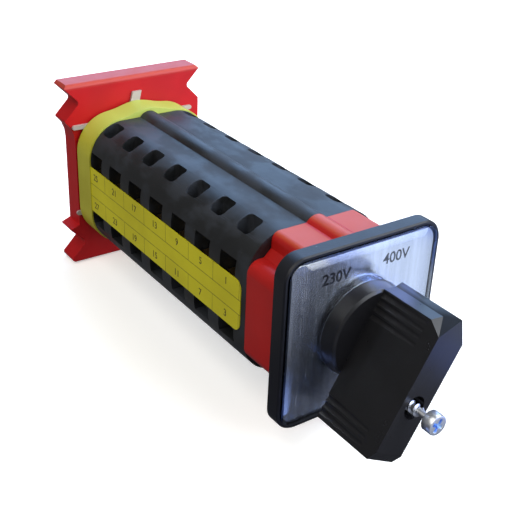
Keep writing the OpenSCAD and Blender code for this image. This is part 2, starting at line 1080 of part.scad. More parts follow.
module plate_outline() {
    side_low = lower_notch + notch_half - 1;
    side_high = upper_notch - notch_half + 1;
    difference() {
        polygon([
            [-plate_half, plate_bottom + plate_corner], [plate_corner - plate_half, plate_bottom],
            [plate_half - plate_corner, plate_bottom], [plate_half, plate_bottom + plate_corner],
            [plate_half, plate_top - plate_corner], [plate_half - plate_corner, plate_top],
            [plate_corner - plate_half, plate_top], [-plate_half, plate_top - plate_corner]
        ]);
        for (height = [upper_notch, lower_notch], side = [0, 1])
            mirror([side, 0])
                edge_notch(height);
        polygon(left_edge);
        translate([right_edge_x, side_low])
            square([1, side_high - side_low]);
    }
}

// Side view of the rear plate, with its long edges rounded in front
module plate_profile() {
    translate([plate_front + plate_edge_r, plate_bottom])
        square([plate_t - plate_edge_r, plate_top - plate_bottom]);
    translate([plate_front, plate_bottom + plate_edge_r])
        square([plate_t, plate_top - plate_bottom - 2 * plate_edge_r]);
    for (z = [plate_bottom + plate_edge_r, plate_top - plate_edge_r])
        translate([plate_front + plate_edge_r, z])
            circle(plate_edge_r);
}

module rear_plate() {
    color("#c81f26")
        difference() {
            intersection() {
                along_y(plate_front, plate_rear)
                    plate_outline();
                along_x(-plate_half - 1, plate_half + 1)
                    plate_profile();
            }
            along_y(plate_front + plate_wall, plate_rear + over)
                for (column = [-1 : 1], row = [-2 : 2])
                    translate([column * pocket_pitch[0], row * pocket_pitch[1]])
                        square(pocket_size, center = true);
            in_halves()
                translate([0, 0, tie_rod_z]) {
                    bar_y(tie_hole_r, plate_front - over, plate_rear);
                    bar_y(nut_pocket_r, plate_front + plate_wall, plate_rear + over);
                }
        }
}

handle();
handle_screw();
drive_disc();
disc_screw();
legend_cover();
legend_plate();
front_frame();
frame_screws();
front_housing();
shaft();
detent_wheel();
stop_pins();
color("#e6e2d6") detent_plunger();  // upper_detent_plunger
color("silver") detent_roller();  // upper_detent_roller
color("#9a9da0") detent_spring();  // upper_detent_spring
color("#e6e2d6") mirror([0, 0, 1]) detent_plunger();  // lower_detent_plunger
color("silver") mirror([0, 0, 1]) detent_roller();  // lower_detent_roller
color("#9a9da0") mirror([0, 0, 1]) detent_spring();  // lower_detent_spring
stage(1);  // stage_1
stage(2);  // stage_2
stage(3);  // stage_3
stage(4);  // stage_4
stage(5);  // stage_5
stage(6);  // stage_6
stage(7);  // stage_7
cam(1);  // cam_1
cam(2);  // cam_2
cam(3);  // cam_3
cam(4);  // cam_4
cam(5);  // cam_5
cam(6);  // cam_6
cam(7);  // cam_7
fixed_contacts();
terminal_clamps();
terminal_screws();
upper_plungers();
upper_bridges();
upper_springs();
lower_plungers();
lower_bridges();
lower_springs();
label_strip();
end_cover();
end_cap();
rear_bush();
retainer();
tie_rods();
tie_rod_nuts();
rear_plate();
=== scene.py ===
"""Looks of a rotary voltage selector switch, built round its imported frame."""

import json
import math

import bmesh
import bpy
from mathutils import Matrix, Vector


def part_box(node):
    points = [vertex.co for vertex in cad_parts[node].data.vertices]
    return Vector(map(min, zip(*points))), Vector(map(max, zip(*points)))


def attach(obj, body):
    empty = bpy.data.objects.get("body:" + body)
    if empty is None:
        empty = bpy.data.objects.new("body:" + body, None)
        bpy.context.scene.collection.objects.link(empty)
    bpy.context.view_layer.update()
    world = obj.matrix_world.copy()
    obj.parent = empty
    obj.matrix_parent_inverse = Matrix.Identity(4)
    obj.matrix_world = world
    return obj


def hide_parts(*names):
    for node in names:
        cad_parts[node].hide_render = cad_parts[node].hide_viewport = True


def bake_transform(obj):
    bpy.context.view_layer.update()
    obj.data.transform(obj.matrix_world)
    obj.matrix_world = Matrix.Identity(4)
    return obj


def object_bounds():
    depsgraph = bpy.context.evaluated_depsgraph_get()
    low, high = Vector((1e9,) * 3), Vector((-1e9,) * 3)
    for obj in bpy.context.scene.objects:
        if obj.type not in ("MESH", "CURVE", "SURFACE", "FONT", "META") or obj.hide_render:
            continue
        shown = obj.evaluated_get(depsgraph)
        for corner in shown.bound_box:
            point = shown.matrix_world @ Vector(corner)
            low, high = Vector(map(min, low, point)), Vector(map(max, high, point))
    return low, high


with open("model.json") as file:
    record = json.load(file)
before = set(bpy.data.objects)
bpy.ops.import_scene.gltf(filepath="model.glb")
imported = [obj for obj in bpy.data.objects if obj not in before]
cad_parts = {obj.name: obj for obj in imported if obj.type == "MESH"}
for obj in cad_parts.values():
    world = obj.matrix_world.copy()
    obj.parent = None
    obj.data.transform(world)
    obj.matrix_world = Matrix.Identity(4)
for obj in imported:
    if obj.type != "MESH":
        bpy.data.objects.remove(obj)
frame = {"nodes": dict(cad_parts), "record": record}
cad_low, cad_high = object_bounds()

MM = 0.001

# Camera as the photograph sees the switch, in metres and degrees, with its lens in millimetres
CAMERA_PLACE = (-0.138845, -0.151728, 0.125856)
CAMERA_TURN = (61.540, -2.353, -34.826)
SENSOR_WIDTH = 36.0
LENS = 66.333
NEAREST = 0.005
FARTHEST = 20.0

# Merging and cutting of meshes, and which edges of a moulding are rounded
MERGE = 0.002 * MM
WIRE_MERGE = 0.001 * MM
SLIVER = 0.001 * MM
NEARLY = 1e-6
CUT_SNAP = 1e-7
FINE_CUT_SNAP = 1e-8
FLAT_ANGLE = math.radians(0.8)
ROUND_ANGLE = math.radians(32)
SHALLOW_ANGLE = math.radians(15)
SMOOTH_ANGLE = math.radians(40)
WIDE_FACE = 5 * MM ** 2

# Width in millimetres and segments of each moulding's rounded edges
ROUNDINGS = {
    "handle": (0.3, 3),
    "front_frame": (0.15, 2),
    "front_housing": (0.4, 2),
    "rear_plate": (0.8, 4),
    "legend_cover": (0.3, 3),
    "end_cap": (0.3, 2),
}
STAGE_ROUNDING = (0.14, 2)

# Contact stages, from here on in millimetres
STAGE_COUNT = 7
STAGE_PITCH = 12.3

# Outline of the end cap, and the low arch over its rib
CAP_HALF = 21.1
CAP_CORNER_R = 11.9
CAP_RIB_R = 4.2
CAP_RIB_Z = 18.5
CAP_SKIN = 0.1
ARCH_HALF = 11
ARCH_RISE = 1.9

# Coil springs, each with the body of the plungers that it pushes
SPRINGS = {
    "upper_springs": "upper_contacts",
    "lower_springs": "lower_contacts",
    "upper_detent_spring": "upper_detent",
    "lower_detent_spring": "lower_detent",
}

# Handle in its first position, and the screw drawn out of its bar
HANDLE_ANGLE = math.radians(30)
SCREW_OFFSET = 8.3
SCREW_SIDES = 40
HEAD_FRONT_Y = -37.5
HEAD_R = 2.65
HEAD_FACE_R = 2.3
HEAD_T = 2.97
NECK_R = 0.82
THREAD_FRONT_Y = -32.6
THREAD_REAR_Y = -17.6
THREAD_CREST_R = 1.5
THREAD_ROOT_R = 0.98
THREAD_PITCH = 1.6
THREAD_SIDES = 32
CROSS_W = 1.0
CROSS_L = 3.7
CROSS_DEPTH = 1.4
CROSS_TAPER = 0.62
# Reach of the painted blue reflection in the cross recess
CROSS_PAINTED_REFLECTION_R = 1.8
CROSS_PAINTED_REFLECTION_DEPTH = 2.0

# Where the thread starts to grow out of its root, and how soon it is full, in pitches
THREAD_START = 0.3
THREAD_GROWTH = 0.5

# Zones of the clear cover where a bevel highlight, a streak along the top and a dark gap line are painted,
# measured out from its middle, and its round hole, whose rim gets a painted highlight
COVER_PAINTED_BEVEL_HIGHLIGHT = (21.0, 21.4)
COVER_PAINTED_STREAK = (21.5, 21.9)
COVER_PAINTED_GAP_SHADE = (22.3, 22.6)
COVER_TOP_Z = (20.4, 21.2)
COVER_HOLE_R = 13.45
COVER_HOLE_Y = -5.3

# Legends on the plate: words, place across and up, and boldness
LEGENDS = (("230V", -8.6, 15.9, 0.11), ("400V", 10.1, 16.5, 0.06))
LEGEND_HEIGHT = 3.0
LEGEND_STRETCH = 0.97
LEGEND_LIFT = 0.01
CAPITAL_SHARE = 0.72

# Label rows, lines and numbers, with one cell to each stage
LABEL_SIDE_X = -20.75
ROW_LINE_HIGH_Z = 2.0
ROW_LINE_LOW_Z = -2.2
FIRST_DIVISION_Y = 30.6
FIRST_NUMBER_Y = 24.4
UPPER_NUMBER_Z = 4.7
LOWER_NUMBER_Z = -4.9
NUMBER_HEIGHT = 2.1
NUMBER_BOLD = 0.03
NUMBER_LIFT = 0.02

# Colours that lie over a base colour
DUST = (0.3, 0.32, 0.3)
# Hand film on the stages: its rougher gloss is real, its lighter bluish tint is a painted sheen
HAND_FILM_AND_SHEEN = (0.024, 0.028, 0.036)
# Painted light: a lighter, greener colour for the end cap's top
CAP_PAINTED_LIT_TOP = (0.46, 0.55, 0.1)
LABEL_PRINT = (0.05, 0.04, 0.006)
BLACK = (0.0, 0.0, 0.0)

# Room round the switch, in metres
GROUND = cad_low[2] - 0.2 * MM
FLOOR_HALF = 6.0
WALL_RADIUS = 5.9
WALL_SIDES = 96
WALL_HEIGHT = 8.0
WINDOW_TURN = math.radians(47)
LIT_POINT = (0.0, 0.045, 0.0)


class Wire:
    """An output socket that takes part in Python maths by adding Math nodes."""

    def __init__(self, finish, socket):
        self.finish = finish
        self.socket = socket

    def maths(self, operation, first, second):
        return self.finish.node("ShaderNodeMath", {"operation": operation}, {0: first, 1: second})

    def __add__(self, other):
        return self.maths("ADD", self, other)

    def __radd__(self, other):
        return self.maths("ADD", other, self)

    def __sub__(self, other):
        return self.maths("SUBTRACT", self, other)

    def __rsub__(self, other):
        return self.maths("SUBTRACT", other, self)

    def __mul__(self, other):
        return self.maths("MULTIPLY", self, other)

    def __rmul__(self, other):
        return self.maths("MULTIPLY", other, self)

    def __pow__(self, other):
        return self.maths("POWER", self, other)

    def __lt__(self, other):
        return self.maths("LESS_THAN", self, other)

    def __gt__(self, other):
        return self.maths("GREATER_THAN", self, other)

    def __abs__(self):
        return self.maths("ABSOLUTE", self, 0.0)

    def larger(self, other):
        return self.maths("MAXIMUM", self, other)

    def smaller(self, other):
        return self.maths("MINIMUM", self, other)

    def to_and_fro(self, span):
        return self.maths("PINGPONG", self, span)


class Finish:
    """A procedural material whose patterns follow Object coordinates, in metres."""

    def __init__(self, name):
        self.material = bpy.data.materials.new(name)
        self.material.use_nodes = True
        self.tree = self.material.node_tree
        self.tree.nodes.clear()
        self.place = self.node("ShaderNodeTexCoord", output="Object")

    def node(self, kind, settings=None, sockets=None, output=0):
        """Adds a node with its settings and the values or links of its sockets."""
        made = self.tree.nodes.new(kind)
        for name, value in (settings or {}).items():
            setattr(made, name, value)
        for key, value in (sockets or {}).items():
            if isinstance(value, Wire):
                self.tree.links.new(value.socket, made.inputs[key])
            else:
                made.inputs[key].default_value = value
        return Wire(self, made.outputs[output])

    def axis(self, name):
        return self.node("ShaderNodeSeparateXYZ", None, {"Vector": self.place}, "XYZ".index(name))

    def scaled(self, scales):
        return self.node("ShaderNodeMapping", None, {"Vector": self.place, "Scale": scales})

    def length(self, vector):
        return self.node("ShaderNodeVectorMath", {"operation": "LENGTH"}, {0: vector}, "Value")

    def noise(self, scale, detail=2.0, roughness=0.5, place=None):
        return self.node("ShaderNodeTexNoise", None, {
            "Vector": place or self.place, "Scale": scale, "Detail": detail, "Roughness": roughness,
        })

    def streaks(self, scales, detail, roughness=0.6):
        """Noise with a scale of its own along each axis."""
        return self.noise(1.0, detail, roughness, self.scaled(scales))

    def step(self, value, low, high, to_low=0.0, to_high=1.0):
        """A smooth step of a value from one level to another."""
        return self.node("ShaderNodeMapRange", {"interpolation_type": "SMOOTHSTEP"}, {
            "Value": value, "From Min": low, "From Max": high, "To Min": to_low, "To Max": to_high,
        })

    def zone(self, place, low, high, to_low=0.0, to_high=1.0):
        """A smooth step along a place, with its ends in millimetres."""
        return self.step(place, low * MM, high * MM, to_low, to_high)

    def blend(self, factor, first, second):
        """Mixes two colours."""
        mix = self.tree.nodes.new("ShaderNodeMix")
        mix.data_type = "RGBA"
        for socket, value in ((mix.inputs[0], factor), (mix.inputs[6], first), (mix.inputs[7], second)):
            if isinstance(value, Wire):
                self.tree.links.new(value.socket, socket)
            elif isinstance(value, tuple):
                socket.default_value = (*value, 1.0)
            else:
                socket.default_value = value
        return Wire(self, mix.outputs[2])

    def bump(self, height, depth, strength, under=None):
        """A bump of a depth in millimetres, on top of another one where it is given."""
        sockets = {"Height": height, "Distance": depth * MM, "Strength": strength}
        if under is not None:
            sockets["Normal"] = under
        return self.node("ShaderNodeBump", None, sockets)

    def principled(self, **sockets):
        names = {key.replace("_", " "): value for key, value in sockets.items()}
        for key, value in names.items():
            if isinstance(value, tuple) and len(value) == 3:
                names[key] = (*value, 1.0)
        return self.node("ShaderNodeBsdfPrincipled", None, names)

    def done(self, shader):
        """Ends the material in a shader."""
        out = self.tree.nodes.new("ShaderNodeOutputMaterial")
        self.tree.links.new(shader.socket, out.inputs["Surface"])
        return self.material

    def surface(self, **sockets):
        """Ends the material in a Principled shader."""
        return self.done(self.principled(**sockets))

    def glowing(self, colour, strength):
        """Ends the material in light alone."""
        return self.surface(
            Base_Color=BLACK, Specular_IOR_Level=0.0, Emission_Color=colour, Emission_Strength=strength,
        )


def shade(colour, factor):
    """A darker or lighter version of a colour."""
    return tuple(channel * factor for channel in colour)


def dusted(finish, base, broad, amount):
    """Scatters small specks of dust, more in some places than in others."""
    specks = finish.node("ShaderNodeTexVoronoi", {"feature": "F1"}, {
        "Vector": finish.place, "Scale": 260.0, "Randomness": 1.0,
    })
    mask = (specks < 0.045) * finish.step(broad, 0.46, 0.6) * amount
    return finish.blend(mask, base, DUST)


def faded_top(finish, base, low, high, colour, ribbed):
    """Paints light on the top face: a warmer, lighter colour standing for light from above, kept off the
    slopes of the rib along it.
    """
    mask = finish.zone(finish.axis("Z"), low, high)
    if ribbed:
        across = abs(finish.axis("X"))
        slopes = finish.zone(across, 1.6, 2.6) * finish.zone(across, 4.0, 3.6)
        mask = mask * (1 - slopes)
    return finish.blend(mask, base, colour)


def moulded(name, colour, roughness, mottle=0.12, grain=1.0, grain_scale=2600.0, dust=0.0,
            waves=1.0, ior=1.46, film=0.0, lit_top_paint=None):
    """Injection-moulded plastic with a spark-eroded grain, slight waviness and a little dust; where asked, a
    hand film with a painted bluish sheen and a top face with painted light.
    """
    finish = Finish(name)
    broad = finish.noise(70.0, 3.0)
    fine = finish.noise(grain_scale, 3.0, 0.6)
    flow = finish.noise(190.0, 3.0)
    mottling = finish.step(broad, 0.35, 0.65)
    base = finish.blend(mottling, shade(colour, 1 - mottle), shade(colour, 1 + mottle))
    scuffs = finish.streaks((900.0, 240.0, 420.0), 4.0, 0.65)
    scuffed = finish.step(scuffs, 0.68, 0.76) * finish.step(broad, 0.45, 0.6)
    base = finish.blend(scuffed * 0.2, base, shade(colour, 1.8))
    gloss = roughness + (flow - 0.5) * 0.14 + scuffed * 0.1
    if dust:
        base = dusted(finish, base, broad, dust)
    # Painted light: a lighter, warmer top face
    if lit_top_paint:
        base = faded_top(finish, base, **lit_top_paint)
    # Hand film: rougher smears, with a lighter bluish tint that is painted sheen
    if film:
        smears = finish.streaks((130.0, 75.0, 130.0), 5.0)
        smeared = finish.step(smears, 0.44, 0.6) * film
        base = finish.blend(smeared, base, HAND_FILM_AND_SHEEN)
        gloss = gloss + smeared * 0.2
    normal = finish.bump(fine, 0.02 * grain, 0.35)
    normal = finish.bump(flow, 0.12 * waves, 0.25, normal)
    return finish.surface(Base_Color=base, Roughness=gloss, Normal=normal, IOR=ior)


def metal(name, colour, roughness, grain_scales=(1800.0, 1800.0, 1800.0)):
    """Plated or turned metal with fine drawing marks and a faint stain."""
    finish = Finish(name)
    marks = finish.streaks(grain_scales, 4.0)
    stains = finish.noise(220.0, 3.0)
    base = finish.blend(finish.step(stains, 0.4, 0.7), colour, shade(colour, 0.8))
    gloss = roughness + (marks - 0.5) * 0.16 + (stains - 0.5) * 0.12
    return finish.surface(
        Base_Color=base, Metallic=1.0, Roughness=gloss, Normal=finish.bump(marks, 0.01, 0.4),
    )


def screw_zinc():
    """Blue-passivated zinc, with a painted blue reflection in the cross recess."""
    finish = Finish("screw_zinc")
    marks = finish.noise(1800.0, 4.0, 0.6)
    across = finish.axis("X") + SCREW_OFFSET * math.sin(HANDLE_ANGLE) * MM
    up = finish.axis("Z") + SCREW_OFFSET * math.cos(HANDLE_ANGLE) * MM
    along = finish.axis("Y")
    near_axis = across * across + up * up < (CROSS_PAINTED_REFLECTION_R * MM) ** 2
    in_head = along < (HEAD_FRONT_Y + CROSS_PAINTED_REFLECTION_DEPTH) * MM
    below_face = finish.zone(along, HEAD_FRONT_Y + 0.05, HEAD_FRONT_Y + 0.3)
    # Painted reflection: the cross recess is coloured blue
    recess = near_axis * in_head * below_face
    base = finish.blend(finish.step(marks, 0.4, 0.7), (0.86, 0.89, 0.94), (0.78, 0.82, 0.88))
    base = finish.blend(recess, base, (0.46, 0.66, 0.97))
    gloss = 0.34 + (marks - 0.5) * 0.16
    return finish.surface(
        Base_Color=base, Metallic=1.0, Roughness=gloss, Normal=finish.bump(marks, 0.01, 0.4),
    )


def brushed_legend():
    """Brushed aluminium with upright drawing lines and a few scratches, duller on the left."""
    finish = Finish("brushed_legend")
    lines = finish.streaks((7000.0, 10.0, 46.0), 5.0, 0.7)
    bands = finish.streaks((520.0, 10.0, 22.0), 3.0, 0.5)
    scratches = finish.streaks((900.0, 10.0, 300.0), 3.0)
    base = finish.blend(finish.step(bands, 0.3, 0.75), (0.66, 0.68, 0.72), (0.8, 0.82, 0.85))
    base = finish.blend(finish.step(lines, 0.35, 0.8) * 0.35, base, (0.9, 0.91, 0.94))
    base = finish.blend(finish.step(scratches, 0.74, 0.78) * 0.5, base, (0.95, 0.95, 0.97))
    dull = finish.zone(finish.axis("X"), 4.0, -8.0)
    gloss = 0.12 + dull * 0.13 + (lines - 0.5) * 0.12 + (bands - 0.5) * 0.06
    normal = finish.bump(lines, 0.08, 0.2 + dull * 0.8)
    return finish.surface(Base_Color=base, Metallic=1.0, Roughness=gloss, Normal=normal)


def clear_cover():
    """Clear moulded cover: see-through in front, with painted highlights in its bevelled edge, along its top
    and on the upper left of its hole's rim, and a painted dark line of shade round its outer edge.
    """
    finish = Finish("clear_cover")
    across = finish.axis("X")
    up = finish.axis("Z")
    outermost = abs(across).larger(abs(up))
    # Painted highlights: the bevel and a streak along the top get more mirror mixed in
    bevel = finish.zone(outermost, *COVER_PAINTED_BEVEL_HIGHLIGHT)
    painted_streak = finish.zone(outermost, *COVER_PAINTED_STREAK) * finish.zone(up, *COVER_TOP_Z, 1.0, 0.3)
    # Painted shade: a dark line round the outer edge, where the gap to the frame is
    painted_gap_shade = finish.zone(outermost, *COVER_PAINTED_GAP_SHADE)
    # Painted highlight: an arc on the upper left of the hole's front rim gets more mirror mixed in
    near_hole = finish.length(finish.scaled((1.0, 0.0, 1.0))) < COVER_HOLE_R * MM
    in_front = finish.axis("Y") < COVER_HOLE_Y * MM
    rim = near_hole * in_front * finish.zone(up - across, -4.0, 10.0)
    marks = finish.streaks((1500.0, 200.0, 380.0), 4.0)
    gloss = finish.principled(
        Base_Color=finish.blend(painted_gap_shade, (0.9, 0.95, 1.0), (0.02, 0.025, 0.04)), Metallic=1.0,
        Roughness=0.06 + finish.step(marks, 0.62, 0.8) * 0.15,
    )
    clear = finish.node("ShaderNodeBsdfTransparent", None, {"Color": (0.97, 0.98, 1.0, 1.0)})
    grazing = finish.node("ShaderNodeLayerWeight", None, {"Blend": 0.5}, "Facing")
    amount = grazing ** 5.0 * 0.9 + 0.04 + bevel * 0.04 + painted_streak * 0.09 + rim * 0.5
    # The painted shade of the gap is stronger on the left than on the right
    amount = amount.larger(painted_gap_shade * finish.zone(across, 12.0, 22.0, 0.85, 0.3))
    return finish.done(finish.node("ShaderNodeMixShader", None, {0: amount, 1: clear, 2: gloss}))


def printed_lines(finish, base):
    """Long row lines and cell divisions printed on the label strip."""
    along = finish.axis("Y")
    up = finish.axis("Z")
    on_label = finish.axis("X") < LABEL_SIDE_X * MM
    from_row = abs(up - ROW_LINE_HIGH_Z * MM).smaller(abs(up - ROW_LINE_LOW_Z * MM))
    from_division = (along - FIRST_DIVISION_Y * MM).to_and_fro(STAGE_PITCH * MM / 2)
    in_a_row = (up > ROW_LINE_HIGH_Z * MM) + (up < ROW_LINE_LOW_Z * MM)
    rows = finish.zone(from_row, 0.15, 0.07)
    divisions = finish.zone(from_division, 0.13, 0.06) * in_a_row
    worn = finish.step(finish.noise(420.0, 2.0), 0.25, 0.5, 0.4, 0.75)
    return finish.blend(rows.larger(divisions) * on_label * worn, base, LABEL_PRINT)


def yellow_film(name, light, dark, printed):
    """Matt yellow plastic or printed film, uneven where handled, the plastic with painted light on its top.
    """
    finish = Finish(name)
    broad = finish.noise(60.0, 3.0)
    fibre = finish.streaks((900.0, 340.0, 900.0), 4.0)
    fine = finish.noise(2400.0, 2.0)
    base = finish.blend(finish.step(broad, 0.3, 0.7), dark, light)
    base = finish.blend(finish.step(fibre, 0.6, 0.8) * 0.25, base, shade(dark, 0.75))
    if printed:
        base = printed_lines(finish, base)
    else:
        # Painted light: the top of the end cap is lighter
        base = finish.blend(finish.zone(finish.axis("Z"), 14.0, 22.0), base, CAP_PAINTED_LIT_TOP)
    gloss = 0.46 + (fine - 0.5) * 0.15
    normal = finish.bump(fine, 0.02, 0.3)
    normal = finish.bump(broad, 0.3, 0.2, normal)
    return finish.surface(Base_Color=base, Roughness=gloss, Normal=normal)


def milky(name, colour):
    """Natural white plastic that lets a little light in."""
    finish = Finish(name)
    broad = finish.noise(300.0, 2.0)
    fine = finish.noise(2600.0, 2.0)
    return finish.surface(
        Base_Color=finish.blend(broad, shade(colour, 0.85), colour),
        Roughness=0.42 + (fine - 0.5) * 0.2, Normal=finish.bump(fine, 0.02, 0.3),
        Subsurface_Weight=0.15, Subsurface_Scale=MM,
    )


def ink(name, colour, wear):
    """Screen-printed ink, thin in places."""
    finish = Finish(name)
    thin = finish.noise(2200.0, 3.0)
    base = finish.blend(finish.step(thin, 0.5, 0.8) * wear, colour, shade(colour, 4.0))
    return finish.surface(Base_Color=base, Roughness=0.45 + (thin - 0.5) * 0.2)


FINISHES = {
    "black_plastic": moulded(
        "handle_black", (0.009, 0.009, 0.011), 0.3, grain=0.5, dust=0.25, waves=0.15, ior=1.45,
    ),
    "frame_black": moulded(
        "frame_black", (0.006, 0.0066, 0.011), 0.4, grain=4.5, grain_scale=2400.0, dust=0.8,
    ),
    "stage_plastic": moulded("stage_black", (0.011, 0.012, 0.013), 0.4, dust=0.2, film=0.9),
    # The red mouldings' top faces get painted light
    "red_plastic": moulded(
        "housing_red", (0.46, 0.01, 0.008), 0.38, mottle=0.06, dust=0.1, ior=1.4,
        lit_top_paint={"low": 19.6, "high": 20.4, "colour": (0.47, 0.055, 0.018), "ribbed": True},
    ),
    "plate_red": moulded(
        "plate_red", (0.47, 0.005, 0.007), 0.4, mottle=0.06, dust=0.1, ior=1.33,
        lit_top_paint={"low": 29.0, "high": 30.8, "colour": (0.46, 0.055, 0.035), "ribbed": False},
    ),
    "yellow_plastic": yellow_film("cap_yellow", (0.53, 0.51, 0.04), (0.46, 0.43, 0.025), False),
    "label_film": yellow_film("label_yellow", (0.74, 0.68, 0.012), (0.64, 0.58, 0.01), True),
    "white_plastic": milky("retainer_white", (0.47, 0.42, 0.4)),
    "natural_plastic": milky("plunger_white", (0.72, 0.68, 0.58)),
    "cam_plastic": milky("cam_cream", (0.66, 0.6, 0.46)),
    "clear_plastic": clear_cover(),
    "brushed_plate": brushed_legend(),
    "zinc_screw": screw_zinc(),
    "plated_steel": metal("plated_steel", (0.52, 0.53, 0.55), 0.34),
    "spring_steel": metal("spring_wire", (0.4, 0.41, 0.43), 0.3),
    "contact_brass": metal("contact_brass", (0.5, 0.34, 0.16), 0.36, (2600.0, 300.0, 2600.0)),
    "bush_brass": metal("bush_brass", (0.66, 0.48, 0.2), 0.3, (2600.0, 200.0, 2600.0)),
    "die_cast": metal("die_cast", (0.4, 0.41, 0.42), 0.5, (900.0, 900.0, 900.0)),
    "black_ink": ink("black_ink", (0.002, 0.002, 0.004), 0.05),
    "label_ink": ink("label_ink", LABEL_PRINT, 0.4),
}

# Nodes whose finish isn't the one named by their slot
NODE_FINISHES = {"front_frame": "frame_black", "label_strip": "label_film", "rear_plate": "plate_red"}


def slot_of(node):
    """The record's material slot of a CAD node."""
    for entry in frame["record"]["subparts"]:
        if entry["node"] == node:
            return entry["material_slot"]
    raise ValueError(node)


def body_of(node):
    """The body that a CAD node belongs to."""
    for body, nodes in frame["record"]["behaviour"]["bodies"].items():
        if node in nodes:
            return body
    raise ValueError(node)


def finish_of(node):
    return FINISHES[NODE_FINISHES.get(node, slot_of(node))]


def finish_cad_nodes():
    """Gives every CAD node its finish."""
    for node, piece in frame["nodes"].items():
        for holder in piece.material_slots:
            holder.material = finish_of(node)


def put_in_order(bm):
    """Sorts edges and faces by their vertices, because some operators leave them in any order."""
    bm.verts.index_update()
    for parts in (bm.edges, bm.faces):
        by_verts = sorted(parts, key=lambda part: sorted(vert.index for vert in part.verts))
        rank = {part: number for number, part in enumerate(by_verts)}
        parts.sort(key=rank.get)


def object_of(name, bm, finish):
    """Turns a bmesh into an object in the scene."""
    put_in_order(bm)
    mesh = bpy.data.meshes.new(name)
    bm.to_mesh(mesh)
    bm.free()
    mesh.materials.append(finish)
    made = bpy.data.objects.new(name, mesh)
    bpy.context.scene.collection.objects.link(made)
    return made


def new_piece(name, bm, finish):
    """Turns a bmesh into a piece of the switch, smooth but for its sharp edges."""
    piece = object_of(name, bm, finish)
    for face in piece.data.polygons:
        face.use_smooth = True
    piece.data.set_sharp_from_angle(angle=SMOOTH_ANGLE)
    return piece


def merged_copy(node, distance):
    """A bmesh copy of a CAD node with its loose triangles joined."""
    bm = bmesh.new()
    bm.from_mesh(frame["nodes"][node].data)
    bmesh.ops.remove_doubles(bm, verts=bm.verts, dist=distance)
    return bm


def is_edge_to_round(edge):
    """True for a sharp edge, and for a shallow one between two wide faces."""
    if len(edge.link_faces) != 2:
        return False
    angle = edge.calc_face_angle(0.0)
    smaller_face = min(face.calc_area() for face in edge.link_faces)
    return angle > ROUND_ANGLE or (angle > SHALLOW_ANGLE and smaller_face > WIDE_FACE)


def cap_height(across, ribbed):
    """Height of the end cap's outline above the shaft axis, in millimetres."""
    level = CAP_HALF
    beyond = across - (CAP_HALF - CAP_CORNER_R)
    if beyond > 0:
        level = CAP_HALF - CAP_CORNER_R + math.sqrt(CAP_CORNER_R ** 2 - beyond ** 2)
    if ribbed and across < CAP_RIB_R:
        level = max(level, CAP_RIB_Z + math.sqrt(CAP_RIB_R ** 2 - across ** 2))
    return level


def cut(bm, point, normal, snap):
    """Adds edges all over a mesh where a plane crosses it."""
    bmesh.ops.bisect_plane(bm, geom=bm.verts[:] + bm.edges[:] + bm.faces[:], dist=snap,
                           plane_co=point, plane_no=normal)


def arch_over_rib(bm):
    """Eases the end cap's outline over its ribs into a low arch."""
    for place in range(-ARCH_HALF, ARCH_HALF + 1):
        cut(bm, (place * MM, 0, 0), (1, 0, 0), CUT_SNAP)
    for vert in bm.verts:
        across = abs(vert.co.x) / MM
        on_outline = abs(vert.co.z) / MM > cap_height(across, True) - CAP_SKIN
        if across < ARCH_HALF and on_outline:
            rise = ARCH_RISE * math.cos(math.pi / 2 * across / ARCH_HALF) ** 2
            vert.co.z = math.copysign((cap_height(across, False) + rise) * MM, vert.co.z)


def rounded_copy(node, width, segments):
    """Replaces a CAD node with a copy of its own mesh whose sharp edges are rounded."""
    bm = merged_copy(node, MERGE)
    bmesh.ops.dissolve_limit(bm, angle_limit=FLAT_ANGLE, verts=bm.verts, edges=bm.edges)
    if node == "end_cap":
        arch_over_rib(bm)
    sharp = [edge for edge in bm.edges if is_edge_to_round(edge)]
    bmesh.ops.bevel(bm, geom=sharp, offset=width * MM, offset_type="OFFSET", affect="EDGES",
                    segments=segments, profile=0.5, clamp_overlap=True, material=-1)
    bmesh.ops.remove_doubles(bm, verts=bm.verts, dist=MERGE)
    bmesh.ops.dissolve_degenerate(bm, edges=bm.edges, dist=SLIVER)
    piece = new_piece(node + "_rounded", bm, finish_of(node))
    even_shading(piece)
    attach(piece, body_of(node))
    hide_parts(node)


def even_shading(piece):
    """Keeps wide flat faces flat beside their rounded edges."""
    weights = piece.modifiers.new("even_shading", "WEIGHTED_NORMAL")
    weights.keep_sharp = True
    weights.weight = 80


def rounded_mouldings():
    """Rounds the edges of every moulding that shows."""
    for node, rounding in ROUNDINGS.items():
        rounded_copy(node, *rounding)
    for number in range(1, STAGE_COUNT + 1):
        rounded_copy("stage_%d" % number, *STAGE_ROUNDING)


def working_springs():
    """Copies of the coil springs, fixed where they stand."""
    for node, body in SPRINGS.items():
        bm = merged_copy(node, WIRE_MERGE)
        piece = new_piece(node + "_wound", bm, finish_of(node))
        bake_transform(piece)
        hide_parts(node)


def ring_on(bm, edges, radius, place):
    """Extrudes a ring of edges to a new radius about the Y axis and a new place along it."""
    made = bmesh.ops.extrude_edge_only(bm, edges=edges)["geom"]
    verts = [item for item in made if isinstance(item, bmesh.types.BMVert)]
    for vert in verts:
        direction = Vector((vert.co.x, 0.0, vert.co.z)).normalized()
        vert.co = direction * radius + Vector((0.0, place, 0.0))
    return [item for item in made if isinstance(item, bmesh.types.BMEdge)
            and all(vert in verts for vert in item.verts)]


